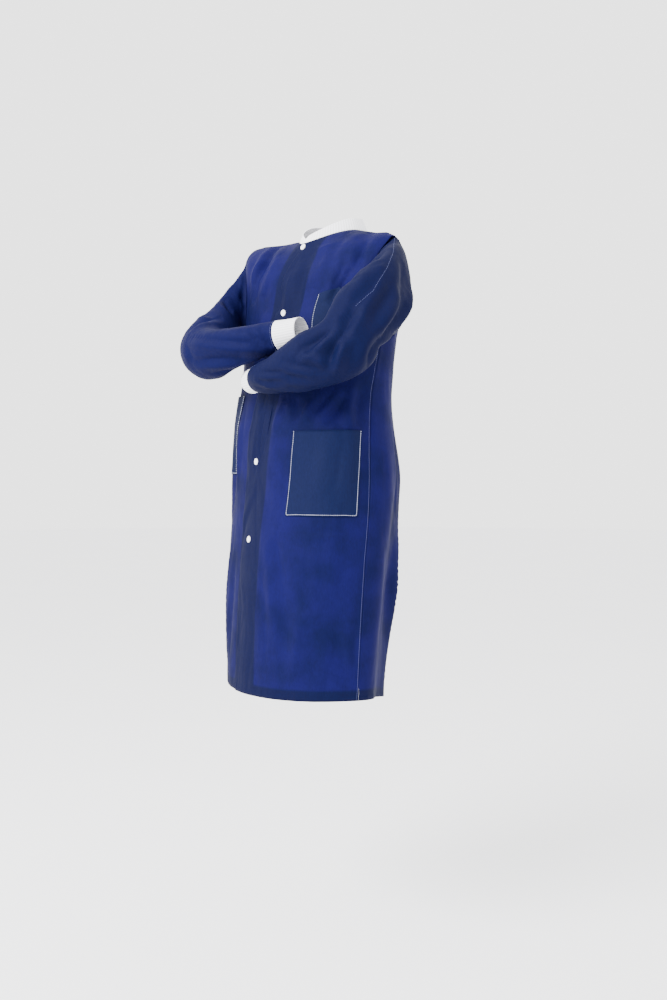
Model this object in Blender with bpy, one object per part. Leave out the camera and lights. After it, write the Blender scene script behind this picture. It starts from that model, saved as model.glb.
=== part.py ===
"""Visitor gown: knee-length coat of thin nonwoven cloth, worn shape with the arms crossed.

Metres, +Z up. The origin is the centre of the neck opening, level with the side-neck points.
The front of the gown faces -Y and the wearer's left is +X.
"""
import functools
import math

import bmesh
import bpy
import numpy as np
from mathutils import Vector

# ---------------------------------------------------------------- sizes (metres, degrees)
CLOTH_WALL = 0.0012
KNIT_WALL = 0.0018
SEAM_GAP = 0.0004
SLEEVE_LIFT = 0.0007
LAP_DROP = 0.0022
PATCH_GAP = 0.0005
PATCH_WALL = 0.0010
LAP_START_ANGLE = -14.0
LAP_FULL_ANGLE = -7.5

COLLAR_HEIGHT = 0.030
COLLAR_END_HEIGHT = 0.007
COLLAR_LEAN = 0.42
COLLAR_STEPS = 4
COLLAR_RISE_POWER = 0.45
COLLAR_FRONT_SKIP = 2
COLLAR_BACK_SKIP = 1
CUFF_STEPS = 4

SNAP_RADIUS = 0.0062
SNAP_HEIGHT = 0.0026
SNAP_RING_RADIUS = 0.0055
SNAP_RING_HOLE = 0.0022
SNAP_RING_HEIGHT = 0.0020
SNAP_CLEARANCE = 0.0005
SNAP_SIDES = 14
SNAP_ANGLE = 0.8
SNAP_LEVELS = (-0.034, -0.171, -0.317, -0.463, -0.615)

# Body sections from the hem to the neck ring. Heights at the front, side and back, the
# centre, the half width, the depths to the front and the back, how full each half is
# (2 is an ellipse) and the turn of the section to the wearer's right in degrees.
SECTION_COLUMNS = ("z_front", "z_side", "z_back", "centre_x", "centre_y", "half_width",
                   "front_depth", "back_depth", "front_full", "back_full", "turn", "left_low",
                   "steps")
SECTIONS = (
    (-0.912, -0.906, -0.932, 0.000, -0.073, 0.207, 0.145, 0.130, 1.95, 2.05, 9.0, 0.000, 3),
    (-0.770, -0.770, -0.780, 0.000, -0.066, 0.210, 0.145, 0.134, 2.10, 2.10, 9.0, 0.000, 3),
    (-0.645, -0.645, -0.650, 0.000, -0.058, 0.213, 0.143, 0.140, 2.25, 2.15, 9.0, 0.000, 2),
    (-0.565, -0.565, -0.565, 0.000, -0.052, 0.215, 0.140, 0.143, 2.35, 2.15, 8.5, 0.000, 2),
    (-0.490, -0.490, -0.490, 0.000, -0.049, 0.215, 0.137, 0.146, 2.40, 2.15, 7.5, 0.000, 2),
    (-0.405, -0.405, -0.405, 0.000, -0.050, 0.207, 0.132, 0.134, 2.40, 2.15, 5.5, 0.000, 2),
    (-0.330, -0.330, -0.330, 0.000, -0.049, 0.197, 0.117, 0.124, 2.35, 2.15, 3.0, 0.000, 2),
    (-0.262, -0.236, -0.232, 0.000, -0.040, 0.190, 0.113, 0.121, 2.20, 2.12, -2.0, 0.000, 4),
    (-0.203, -0.172, -0.172, 0.000, -0.033, 0.194, 0.111, 0.119, 2.10, 2.10, -5.0, 0.001, 3),
    (-0.147, -0.098, -0.122, 0.000, -0.030, 0.199, 0.101, 0.112, 2.05, 2.05, -7.0, 0.004, 3),
    (-0.100, -0.021, -0.075, -0.003, -0.030, 0.199, 0.088, 0.098, 2.00, 2.00, -8.7, 0.009, 2),
    (-0.060, -0.011, -0.030, 0.000, -0.018, 0.142, 0.078, 0.082, 1.90, 2.00, -6.0, 0.005, 2),
    (-0.040, -0.004, -0.004, 0.004, -0.006, 0.096, 0.079, 0.070, 1.80, 2.00, -3.0, 0.002, 1),
    (-0.026, 0.000, 0.007, 0.005, 0.000, 0.071, 0.080, 0.066, 1.72, 2.00, 0.0, 0.000, 0),
)
LEFT_POCKET_ROWS = (3.0, 5.0)
RIGHT_POCKET_ROWS = (4.0, 6.0)
CHEST_POCKET_ROWS = (7.25, 9.0)
ROW_UNDERARM = 7
ROW_SHOULDER_TIP = 10
ARMHOLE_FRONT_INSET = 32.0
ARMHOLE_BACK_INSET = 30.0

# Angles of the grid columns round the body, 0 at centre front and 90 at the side.
LEFT_COLUMNS = (-6.0, -2.0, 1.5, 6.5, 13.0, 21.0, 29.5, 38.5, 47.5, 56.5, 65.5, 74.5, 83.0,
                90.0)
RIGHT_COLUMNS = (8.0, 3.0, -1.5, -7.5, -15.0, -23.0, -32.0, -41.0, -50.0, -58.0, -66.0,
                 -74.0, -82.0, -90.0)
BACK_STEPS = 22
LEFT_POCKET_COLUMNS = (6, 12)
RIGHT_POCKET_COLUMNS = (5, 11)
CHEST_POCKET_COLUMNS = (7, 12)

# Large soft folds of the body: angle where the fold is deepest, section number of its
# lower and upper end, half width in degrees, depth (minus is a trough), slant in degrees
# per section and which end is full (0 both ends fade, 1 the lower end stays full).
FOLD_COLUMNS = ("angle", "low", "high", "half_width", "depth", "slant", "open_low")
BODY_FOLDS = (
    (100.0, -0.5, 6.0, 13.0, 0.008, 1.0, 1),
    (128.0, -0.5, 7.0, 12.0, -0.009, 1.5, 1),
    (150.0, -0.5, 6.5, 12.0, 0.007, 0.5, 1),
    (205.0, -0.5, 7.0, 13.0, -0.008, -1.0, 1),
    (232.0, -0.5, 6.5, 12.0, 0.009, -1.5, 1),
    (262.0, -0.5, 6.0, 12.0, -0.007, -1.0, 1),
    (178.0, 3.0, 9.0, 14.0, -0.006, 0.5, 0),
    (72.0, 2.5, 7.0, 9.0, 0.008, 3.0, 0),
    (86.0, 2.5, 7.0, 8.0, -0.007, 1.0, 0),
    (-58.0, -0.5, 5.0, 12.0, 0.006, 0.0, 1),
)

# Sleeve rings: centre, direction to the outer side of the arm, and the four half sizes.
RING_COLUMNS = ("x", "y", "z", "out_x", "out_y", "out_z", "outer", "front", "inner", "back",
                "steps")
LEFT_RINGS = (
    (0.240, -0.130, -0.222, 0.93, 0.05, 0.00, 0.059, 0.066, 0.053, 0.052, 3),
    (0.230, -0.161, -0.256, 0.75, -0.35, -0.55, 0.072, 0.060, 0.046, 0.056, 2),
    (0.202, -0.189, -0.279, 0.25, -0.45, -0.80, 0.057, 0.053, 0.043, 0.046, 2),
    (0.160, -0.207, -0.291, 0.05, -0.40, -0.90, 0.047, 0.045, 0.036, 0.040, 2),
    (0.115, -0.216, -0.299, 0.00, -0.40, -0.90, 0.039, 0.037, 0.032, 0.035, 2),
    (0.075, -0.218, -0.303, 0.00, -0.40, -0.90, 0.033, 0.033, 0.030, 0.031, 2),
    (0.045, -0.214, -0.305, 0.00, -0.40, -0.90, 0.027, 0.027, 0.027, 0.027, 0),
)
RIGHT_RINGS = (
    (-0.170, -0.182, -0.212, -0.85, -0.35, 0.15, 0.061, 0.060, 0.056, 0.054, 3),
    (-0.135, -0.214, -0.238, -0.60, -0.60, -0.45, 0.061, 0.060, 0.050, 0.054, 3),
    (-0.090, -0.228, -0.248, -0.10, -0.55, -0.85, 0.054, 0.057, 0.046, 0.048, 2),
    (-0.042, -0.231, -0.246, 0.00, -0.50, -0.85, 0.043, 0.050, 0.040, 0.038, 2),
    (0.002, -0.221, -0.239, 0.00, -0.45, -0.87, 0.037, 0.043, 0.034, 0.033, 2),
    (0.038, -0.203, -0.231, 0.00, -0.45, -0.87, 0.034, 0.036, 0.032, 0.032, 2),
    (0.073, -0.187, -0.225, 0.00, -0.40, -0.90, 0.031, 0.031, 0.031, 0.031, 0),
)
# Upper arm, from the armhole to the first ring: direction in which the cloth leaves the
# armhole, how strongly, how strongly it enters the ring, the twist in degrees and how far
# the cloth stands out half way.
START_COLUMNS = ("leave_x", "leave_y", "leave_z", "leave", "arrive", "twist", "bulge")
LEFT_START = (0.90, -0.20, -0.05, 0.14, 0.12, 42.0, 0.020)
RIGHT_START = (-0.60, -0.20, -0.75, 0.10, 0.12, 75.0, 0.000)
START_ROWS = 8
BULGE_HOLD = 1.6
RING_FRAME_STEP = 0.6
LEFT_CUFF_END = (-0.010, -0.193, -0.306)
RIGHT_CUFF_END = (0.118, -0.168, -0.219)
LEFT_CUFF_RADIUS = 0.0245
RIGHT_CUFF_RADIUS = 0.029
RELAX_PASSES = 3
RELAX_ROWS = 9
RELAX_PULL = 0.5
RELAX_AROUND = 0.3
BODY_CLEARANCE = 0.0055
CLEAR_LOW = 4.0
CLEAR_HIGH = 12.0
CLEAR_LEVELS = 48
CLEAR_ANGLE_STEP = 4
CLEARANCE_ROWS = 3.0
CLEARANCE_START = 0.6

# Sleeve folds: place round the arm in degrees (0 outer side, 90 front, 180 inner side), grid row
# number of the start and the end, half width in degrees, depth, slant in degrees per row.
SLEEVE_FOLD_COLUMNS = ("angle", "low", "high", "half_width", "depth", "slant")
LEFT_FOLDS = (
    (60.0, 2.0, 11.0, 26.0, -0.006, -3.0),
    (105.0, 3.0, 12.0, 24.0, 0.005, -2.0),
    (20.0, 11.0, 20.0, 24.0, -0.004, 2.0),
    (60.0, 13.0, 22.0, 22.0, 0.004, 1.0),
    (140.0, 10.0, 18.0, 38.0, 0.016, 0.0),
)
RIGHT_FOLDS = (
    (60.0, 2.0, 11.0, 26.0, -0.005, -3.0),
    (110.0, 3.0, 12.0, 24.0, 0.004, -2.0),
    (40.0, 11.0, 21.0, 24.0, -0.004, 2.0),
)

# Colours as linear RGB, roughness and metallic.
FINISHES = {
    "nonwoven_navy": ((0.030, 0.042, 0.190), 0.62, 0.0),
    "pocket_navy": ((0.026, 0.046, 0.165), 0.62, 0.0),
    "knit_white": ((0.80, 0.80, 0.84), 0.85, 0.0),
    "snap_white": ((0.82, 0.82, 0.84), 0.35, 0.0),
}


# ---------------------------------------------------------------- small helpers
def unit(vector):
    length = np.linalg.norm(vector)
    return vector / max(length, 1e-12)


def smooth_step(value):
    clipped = min(max(value, 0.0), 1.0)
    return clipped * clipped * (3.0 - 2.0 * clipped)


def table_at(table, place):
    """All columns of a table at a place between its rows, on a smooth curve."""
    last = len(table) - 1
    place = min(max(place, 0.0), float(last))
    index = min(int(place), last - 1)
    part = place - index
    before = np.array(table[max(index - 1, 0)][:-1], dtype=float)
    start = np.array(table[index][:-1], dtype=float)
    end = np.array(table[index + 1][:-1], dtype=float)
    after = np.array(table[min(index + 2, last)][:-1], dtype=float)
    slope_start = 0.5 * (end - before) if index > 0 else end - start
    slope_end = 0.5 * (after - start) if index + 2 <= last else end - start
    square = part * part
    cube = square * part
    return ((2.0 * cube - 3.0 * square + 1.0) * start
            + (cube - 2.0 * square + part) * slope_start
            + (3.0 * square - 2.0 * cube) * end
            + (cube - square) * slope_end)


def places_of(table):
    """Places of the grid rows: each table row and its in-between steps."""
    places = []
    for index, row in enumerate(table[:-1]):
        steps = row[-1]
        places.extend(index + step / steps for step in range(steps))
    places.append(float(len(table) - 1))
    return places


def fold_height(folds, angle, place, full_turn=True):
    """Sum of the folds at an angle and a place along the piece."""
    total = 0.0
    for fold in folds:
        centre, low, high, half_width, depth, slant = fold[:6]
        open_low = fold[6] if len(fold) > 6 else 0
        if place < low or place > high:
            continue
        middle = 0.5 * (low + high)
        away = angle - centre - slant * (place - middle)
        if full_turn:
            away = (away + 180.0) % 360.0 - 180.0
        if abs(away) >= half_width * 2.0:
            continue
        along = (place - low) / (high - low)
        fade = 1.0 - smooth_step((along - 0.45) / 0.55)
        if not open_low:
            fade *= smooth_step(along / 0.45)
        total += depth * fade * math.cos(away / half_width * math.pi / 4.0) ** 2
    return total


# ---------------------------------------------------------------- body surface
@functools.lru_cache(maxsize=None)
def section_row(place):
    return dict(zip(SECTION_COLUMNS, (float(value) for value in table_at(SECTIONS, place))))


def body_raw(angle, place):
    """Point of the outer surface at an angle round the body and a place from hem to neck."""
    row = section_row(place)
    radians = math.radians(angle)
    sine = math.sin(radians)
    cosine = math.cos(radians)
    at_front = cosine > 0.0
    full = row["front_full"] if at_front else row["back_full"]
    depth = row["front_depth"] if at_front else row["back_depth"]
    height = row["z_front"] if at_front else row["z_back"]
    across = row["half_width"] * math.copysign(abs(sine) ** (2.0 / full), sine)
    ahead = -depth * math.copysign(abs(cosine) ** (2.0 / full), cosine)
    level = row["z_side"] + (height - row["z_side"]) * cosine * cosine
    level -= row["left_low"] * sine
    turn = math.radians(-row["turn"])
    return np.array((
        row["centre_x"] + across * math.cos(turn) - ahead * math.sin(turn),
        row["centre_y"] + across * math.sin(turn) + ahead * math.cos(turn),
        level,
    ))


def body_normal_raw(angle, place):
    """Outward normal of the plain surface."""
    step_angle = 1.5
    step_place = 0.04
    low = max(place - step_place, 0.0)
    high = min(place + step_place, len(SECTIONS) - 1.0)
    round_step = body_raw(angle + step_angle, place) - body_raw(angle - step_angle, place)
    up_step = body_raw(angle, high) - body_raw(angle, low)
    return unit(np.cross(round_step, up_step))


def body_point(angle, place):
    """Outer surface with its folds."""
    return body_raw(angle, place) + body_normal_raw(angle, place) * fold_height(
        BODY_FOLDS, angle, place)


def body_normal(angle, place):
    step_angle = 2.0
    step_place = 0.10
    low = max(place - step_place, 0.0)
    high = min(place + step_place, len(SECTIONS) - 1.0)
    round_step = body_point(angle + step_angle, place) - body_point(angle - step_angle, place)
    up_step = body_point(angle, high) - body_point(angle, low)
    return unit(np.cross(round_step, up_step))


def armhole_edge(place, inset):
    """How far the armhole cuts in from the side line, in degrees."""
    share = (place - ROW_UNDERARM) / (ROW_SHOULDER_TIP - ROW_UNDERARM)
    if share <= 0.0 or share >= 1.0:
        return 0.0
    return inset * math.sqrt(max(1.0 - (2.0 * share - 1.0) ** 2, 0.0))


def column_angles(columns, place, inset):
    """Column angles of a front, drawn in beside the armhole."""
    edge = columns[-1]
    kept = edge - math.copysign(armhole_edge(place, inset), edge)
    start = columns[0]
    return [start + (angle - start) * (kept - start) / (edge - start) for angle in columns]


def back_angles(place):
    inset = armhole_edge(place, ARMHOLE_BACK_INSET)
    start = 90.0 + inset
    end = 270.0 - inset
    return [start + (end - start) * step / BACK_STEPS for step in range(BACK_STEPS + 1)]


def front_panel(columns, under):
    """Outer points and normals of one front."""
    points = []
    normals = []
    for place in places_of(SECTIONS):
        row_points = []
        row_normals = []
        for angle in column_angles(columns, place, ARMHOLE_FRONT_INSET):
            normal = body_normal(angle, place)
            point = body_point(angle, place)
            if under:
                sink = smooth_step((angle - LAP_START_ANGLE) / (LAP_FULL_ANGLE - LAP_START_ANGLE))
                point = point - normal * LAP_DROP * sink
            row_points.append(point)
            row_normals.append(normal)
        points.append(row_points)
        normals.append(row_normals)
    return np.array(points), np.array(normals)


def back_grid():
    points = []
    normals = []
    for place in places_of(SECTIONS):
        angles = back_angles(place)
        points.append([body_point(angle, place) for angle in angles])
        normals.append([body_normal(angle, place) for angle in angles])
    return np.array(points), np.array(normals)


def trim_columns(points, gap, first, last):
    """Draw the outer columns in by a small gap so that seams never touch."""
    trimmed = points.copy()
    for row in range(points.shape[0]):
        if first:
            trimmed[row, 0] += unit(points[row, 1] - points[row, 0]) * gap
        if last:
            trimmed[row, -1] += unit(points[row, -2] - points[row, -1]) * gap
    return trimmed


# ---------------------------------------------------------------- sleeves
def armhole_loop(side):
    """Armhole edge points, from the shoulder tip down the front and up the back."""
    places = [place for place in places_of(SECTIONS)
              if ROW_UNDERARM <= place <= ROW_SHOULDER_TIP]
    front = []
    for place in reversed(places):
        angle = 90.0 - armhole_edge(place, ARMHOLE_FRONT_INSET)
        front.append((side * angle, place))
    back = []
    for place in places[1:-1]:
        angle = 90.0 + armhole_edge(place, ARMHOLE_BACK_INSET)
        back.append((side * angle, place))
    return front + back


def armhole_seam(side):
    """First points of a sleeve, just inside the edge of the armhole."""
    loop = armhole_loop(side)
    edge = np.array([body_point(angle, place) for angle, place in loop])
    centre = edge.mean(axis=0)
    points = []
    for (angle, place), point in zip(loop, edge):
        normal = body_normal(angle, place)
        across = centre - point
        across = unit(across - normal * np.dot(across, normal))
        points.append(point + across * SEAM_GAP + normal * SLEEVE_LIFT)
    return points


@functools.lru_cache(maxsize=None)
def ring_frame(table, place):
    """Sizes, direction along the arm and direction to its outer side, at a place on it."""
    ahead = table_at(table, place + RING_FRAME_STEP)[:3]
    behind = table_at(table, place - RING_FRAME_STEP)[:3]
    along = unit(ahead - behind)
    row = dict(zip(RING_COLUMNS, table_at(table, place)))
    outer = np.array((row["out_x"], row["out_y"], row["out_z"]))
    outer = unit(outer - along * np.dot(outer, along))
    return row, along, outer


def ring_point(table, place, degrees, side):
    row, along, outer = ring_frame(table, place)
    front = np.cross(along, outer) * side
    cosine = math.cos(math.radians(degrees))
    sine = math.sin(math.radians(degrees))
    across = row["outer"] if cosine > 0.0 else row["inner"]
    ahead = row["front"] if sine > 0.0 else row["back"]
    centre = np.array((row["x"], row["y"], row["z"]))
    return centre + outer * across * cosine + front * ahead * sine


def sleeve_grid(table, start, folds, side):
    """Outer points of a sleeve, rows from the armhole to the cuff, columns round the arm."""
    seam = armhole_seam(side)
    count = len(seam)
    along = ring_frame(table, 0.0)[1]
    shape = dict(zip(START_COLUMNS, start))
    leave = unit(np.array((shape["leave_x"], shape["leave_y"], shape["leave_z"])))
    turns = [360.0 * index / count + shape["twist"] for index in range(count)]
    rows = []
    for step in range(START_ROWS):
        share = step / START_ROWS
        square = share * share
        cube = square * share
        ring = []
        for index in range(count):
            arrive = ring_point(table, 0.0, turns[index], side)
            point = ((2.0 * cube - 3.0 * square + 1.0) * seam[index]
                     + (cube - 2.0 * square + share) * leave * shape["leave"]
                     + (3.0 * square - 2.0 * cube) * arrive
                     + (cube - square) * along * shape["arrive"])
            ring.append(point)
        ring = np.array(ring)
        middle = ring.mean(axis=0)
        for index in range(count):
            spoke = unit(ring[index] - middle)
            held = 1.0 - min(max(-BULGE_HOLD * spoke[2], 0.0), 1.0)
            ring[index] += spoke * shape["bulge"] * held * math.sin(math.pi * share)
        rows.append(ring)
    for place in places_of(table):
        rows.append([ring_point(table, place, turn, side) for turn in turns])
    grid = relax_sleeve(np.array(rows))
    grid = add_sleeve_folds(grid, folds, turns, side)
    normals = grid_normals(grid, True, side < 0)
    return grid, normals


def add_sleeve_folds(grid, folds, turns, side):
    """Raise and lower the cloth along its normals; the two end rings stay."""
    normals = grid_normals(grid, True, side < 0)
    last = grid.shape[0] - 1
    for row in range(1, last):
        for column, turn in enumerate(turns):
            grid[row, column] += normals[row, column] * fold_height(folds, turn, row)
    return grid


@functools.lru_cache(maxsize=None)
def body_samples():
    """Points and normals of the chest and back that a sleeve must stay clear of."""
    points = []
    normals = []
    for step in range(CLEAR_LEVELS + 1):
        place = CLEAR_LOW + (CLEAR_HIGH - CLEAR_LOW) * step / CLEAR_LEVELS
        for angle in range(0, 360, CLEAR_ANGLE_STEP):
            points.append(body_point(angle, place))
            normals.append(body_normal(angle, place))
    return np.array(points), np.array(normals)


def push_clear(grid, samples):
    """Move points of a sleeve out of the body, by a clearance that grows from the seam."""
    points, normals = samples
    for row in range(1, grid.shape[0]):
        wanted = BODY_CLEARANCE * smooth_step((row + CLEARANCE_START) / CLEARANCE_ROWS)
        for column in range(grid.shape[1]):
            away = grid[row, column] - points
            nearest = int(np.argmin((away * away).sum(axis=1)))
            height = float(np.dot(away[nearest], normals[nearest]))
            if height < wanted:
                grid[row, column] += normals[nearest] * (wanted - height)
    return grid


def relax_sleeve(grid):
    """Even out the rings next to the armhole and keep them outside the body."""
    samples = body_samples()
    grid = push_clear(grid, samples)
    for _ in range(RELAX_PASSES):
        moved = grid.copy()
        for row in range(1, RELAX_ROWS + 1):
            weight = RELAX_PULL * (1.0 - smooth_step(row / (RELAX_ROWS + 1.0)))
            around = 0.5 * (np.roll(grid[row], 1, axis=0) + np.roll(grid[row], -1, axis=0))
            along = 0.5 * (grid[row - 1] + grid[row + 1])
            even = RELAX_AROUND * around + (1.0 - RELAX_AROUND) * along
            moved[row] += weight * (even - grid[row])
        grid = push_clear(moved, samples)
    return grid


def grid_normals(points, closed, flip):
    """Normals of a grid by differences along its rows and columns."""
    row_count, column_count = points.shape[:2]
    normals = np.zeros_like(points)
    for row in range(row_count):
        low = points[max(row - 1, 0)]
        high = points[min(row + 1, row_count - 1)]
        for column in range(column_count):
            if closed:
                before = points[row, (column - 1) % column_count]
                after = points[row, (column + 1) % column_count]
            else:
                before = points[row, max(column - 1, 0)]
                after = points[row, min(column + 1, column_count - 1)]
            normal = unit(np.cross(after - before, high[column] - low[column]))
            normals[row, column] = -normal if flip else normal
    return normals


# ---------------------------------------------------------------- solids
def make_solid(name, outer, inner, closed, finish):
    """A thin wall between two grids of points, closed at its edges."""
    row_count, column_count = outer.shape[:2]
    mesh = bmesh.new()
    layers = []
    for grid in (outer, inner):
        layers.append([[mesh.verts.new(Vector(point)) for point in row] for row in grid])
    span = column_count if closed else column_count - 1
    for row in range(row_count - 1):
        for column in range(span):
            following = (column + 1) % column_count
            for layer, reverse in ((layers[0], False), (layers[1], True)):
                corners = [layer[row][column], layer[row][following],
                           layer[row + 1][following], layer[row + 1][column]]
                mesh.faces.new(corners[::-1] if reverse else corners)
    for column in range(span):
        following = (column + 1) % column_count
        for row, reverse in ((0, True), (row_count - 1, False)):
            corners = [layers[0][row][column], layers[0][row][following],
                       layers[1][row][following], layers[1][row][column]]
            mesh.faces.new(corners[::-1] if reverse else corners)
    if not closed:
        for row in range(row_count - 1):
            for column, reverse in ((0, False), (column_count - 1, True)):
                corners = [layers[0][row][column], layers[0][row + 1][column],
                           layers[1][row + 1][column], layers[1][row][column]]
                mesh.faces.new(corners[::-1] if reverse else corners)
    return finish_mesh(name, mesh, finish)


def finish_mesh(name, mesh, finish):
    bmesh.ops.recalc_face_normals(mesh, faces=mesh.faces)
    if mesh.calc_volume(signed=True) < 0.0:
        bmesh.ops.reverse_faces(mesh, faces=mesh.faces)
    bmesh.ops.triangulate(mesh, faces=mesh.faces, quad_method="SHORT_EDGE")
    for face in mesh.faces:
        face.smooth = True
    data = bpy.data.meshes.new(name)
    mesh.to_mesh(data)
    mesh.free()
    data.materials.append(material(finish))
    item = bpy.data.objects.new(name, data)
    bpy.context.scene.collection.objects.link(item)
    return item


def material(name):
    existing = bpy.data.materials.get(name)
    if existing:
        return existing
    colour, roughness, metallic = FINISHES[name]
    made = bpy.data.materials.new(name)
    made.use_nodes = True
    shader = made.node_tree.nodes["Principled BSDF"]
    shader.inputs["Base Color"].default_value = (*colour, 1.0)
    shader.inputs["Roughness"].default_value = roughness
    shader.inputs["Metallic"].default_value = metallic
    made.diffuse_color = (*colour, 1.0)
    return made


# ---------------------------------------------------------------- pieces
def make_panels():
    left_points, left_normals = front_panel(LEFT_COLUMNS, False)
    right_points, right_normals = front_panel(RIGHT_COLUMNS, True)
    back_points, back_normals = back_grid()
    left_trim = trim_columns(left_points, SEAM_GAP / 2.0, False, True)
    right_trim = trim_columns(right_points, SEAM_GAP / 2.0, False, True)
    back_trim = trim_columns(back_points, SEAM_GAP / 2.0, True, True)
    make_solid("left_front", left_trim, left_trim - left_normals * CLOTH_WALL, False,
               "nonwoven_navy")
    make_solid("right_front", right_trim, right_trim - right_normals * CLOTH_WALL, False,
               "nonwoven_navy")
    make_solid("back_panel", back_trim, back_trim - back_normals * CLOTH_WALL, False,
               "nonwoven_navy")
    return (left_points, left_normals), (right_points, right_normals), (back_points, back_normals)


def make_pocket(name, panel, columns, ends):
    """Patch made from the points of a panel, moved out."""
    points, normals = panel
    places = places_of(SECTIONS)
    rows = slice(places.index(ends[0]), places.index(ends[1]) + 1)
    span = slice(columns[0], columns[1] + 1)
    base = points[rows, span]
    away = normals[rows, span]
    make_solid(name, base + away * (PATCH_GAP + PATCH_WALL), base + away * PATCH_GAP, False,
               "pocket_navy")


def make_sleeve(side, table, start, folds, end, radius, sleeve_name, cuff_name):
    points, normals = sleeve_grid(table, start, folds, side)
    make_solid(sleeve_name, points, points - normals * CLOTH_WALL, True, "nonwoven_navy")
    last = points[-1]
    centre = last.mean(axis=0)
    target = np.array(end)
    along = unit(target - centre)
    rings = []
    for step in range(CUFF_STEPS + 1):
        share = step / CUFF_STEPS
        ring = []
        for point in last:
            spoke = point - centre
            spoke = spoke - along * np.dot(spoke, along) * smooth_step(share * 2.0)
            size = np.linalg.norm(spoke)
            kept = size + (radius - size) * smooth_step(share * 2.0)
            ring.append(centre + (target - centre) * share + unit(spoke) * kept
                        + along * SEAM_GAP * (1.0 - share))
        rings.append(ring)
    grid = np.array(rings)
    cuff_normals = grid_normals(grid, True, side < 0)
    make_solid(cuff_name, grid, grid - cuff_normals * KNIT_WALL, True, "knit_white")


def make_collar(left, right, back):
    """Knit band on the neck edge, lower at its two front ends."""
    base, normal_base = (
        np.concatenate([left[part][-1][COLLAR_FRONT_SKIP:],
                        back[part][-1][COLLAR_BACK_SKIP:-COLLAR_BACK_SKIP],
                        right[part][-1][COLLAR_FRONT_SKIP:][::-1]])
        for part in (0, 1))
    count = len(base)
    centre = base.mean(axis=0)
    grid = []
    for step in range(COLLAR_STEPS + 1):
        share = step / COLLAR_STEPS
        ring = []
        for index in range(count):
            around = index / (count - 1.0)
            rise = math.sin(math.pi * around) ** COLLAR_RISE_POWER
            height = COLLAR_END_HEIGHT + (COLLAR_HEIGHT - COLLAR_END_HEIGHT) * rise
            inward = centre - base[index]
            inward[2] = 0.0
            inward = unit(inward)
            slope = np.array((0.0, 0.0, 1.0)) + inward * COLLAR_LEAN
            ring.append(base[index] + unit(slope) * (SEAM_GAP + height * share))
        grid.append(ring)
    grid = np.array(grid)
    normals = grid_normals(grid, False, False)
    for index in range(count):
        normals[0, index] = unit(normal_base[index] + normals[1, index])
    make_solid("collar", grid, grid - normals * KNIT_WALL, False, "knit_white")


def place_at_level(level):
    """Place of the body surface where the centre front is at a height."""
    low = 0.0
    high = len(SECTIONS) - 1.0
    for _ in range(40):
        middle = 0.5 * (low + high)
        if body_raw(0.0, middle)[2] < level:
            low = middle
        else:
            high = middle
    return 0.5 * (low + high)


def make_lathe(name, centre, axis, profile, finish, ring):
    """A small turned piece: rows of radius and height along its axis."""
    mesh = bmesh.new()
    forward = Vector(axis).normalized()
    side = forward.orthogonal().normalized()
    up = forward.cross(side)
    loops = []
    for radius, height in profile:
        loop = []
        for step in range(SNAP_SIDES):
            turn = 2.0 * math.pi * step / SNAP_SIDES
            offset = side * math.cos(turn) * radius + up * math.sin(turn) * radius
            loop.append(mesh.verts.new(Vector(centre) + offset + forward * height))
        loops.append(loop)
    pairs = list(zip(loops, loops[1:]))
    if ring:
        pairs.append((loops[-1], loops[0]))
    for low, high in pairs:
        for step in range(SNAP_SIDES):
            following = (step + 1) % SNAP_SIDES
            mesh.faces.new((low[step], low[following], high[following], high[step]))
    if not ring:
        mesh.faces.new(loops[0][::-1])
        mesh.faces.new(loops[-1])
    return finish_mesh(name, mesh, finish)


def make_snaps():
    cap = ((SNAP_RADIUS, 0.0), (SNAP_RADIUS, SNAP_HEIGHT * 0.4),
           (SNAP_RADIUS * 0.78, SNAP_HEIGHT * 0.85), (SNAP_RADIUS * 0.35, SNAP_HEIGHT))
    ring = ((SNAP_RING_RADIUS, 0.0), (SNAP_RING_RADIUS, SNAP_RING_HEIGHT),
            (SNAP_RING_HOLE, SNAP_RING_HEIGHT), (SNAP_RING_HOLE, 0.0))
    for number, level in enumerate(SNAP_LEVELS, start=1):
        place = place_at_level(level)
        normal = body_normal(SNAP_ANGLE, place)
        face = body_point(SNAP_ANGLE, place)
        make_lathe(f"snap_cap_{number}", face + normal * SNAP_CLEARANCE, normal, cap,
                   "snap_white", False)
        inside = face - normal * (LAP_DROP + CLOTH_WALL + SNAP_CLEARANCE)
        make_lathe(f"snap_back_{number}", inside, -normal, ring, "snap_white", True)


def main():
    for item in list(bpy.data.objects):
        bpy.data.objects.remove(item, do_unlink=True)
    left, right, back = make_panels()
    make_sleeve(1.0, LEFT_RINGS, LEFT_START, LEFT_FOLDS, LEFT_CUFF_END, LEFT_CUFF_RADIUS,
                "left_sleeve", "left_cuff")
    make_sleeve(-1.0, RIGHT_RINGS, RIGHT_START, RIGHT_FOLDS, RIGHT_CUFF_END, RIGHT_CUFF_RADIUS,
                "right_sleeve", "right_cuff")
    make_collar(left, right, back)
    make_pocket("left_hip_pocket", left, LEFT_POCKET_COLUMNS, LEFT_POCKET_ROWS)
    make_pocket("right_hip_pocket", right, RIGHT_POCKET_COLUMNS, RIGHT_POCKET_ROWS)
    make_pocket("chest_pocket", left, CHEST_POCKET_COLUMNS, CHEST_POCKET_ROWS)
    make_snaps()


main()
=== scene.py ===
"""Visitor gown: thin cloth shells with their creases, knit bands, snaps, stitching and the studio.

Metres, +Z up, the front of the gown faces -Y and its left is +X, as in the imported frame.
"""
import functools
import math

import bmesh
import bpy
import numpy as np
from mathutils import Matrix, Vector, noise
from mathutils.bvhtree import BVHTree
from mathutils.kdtree import KDTree


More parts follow.
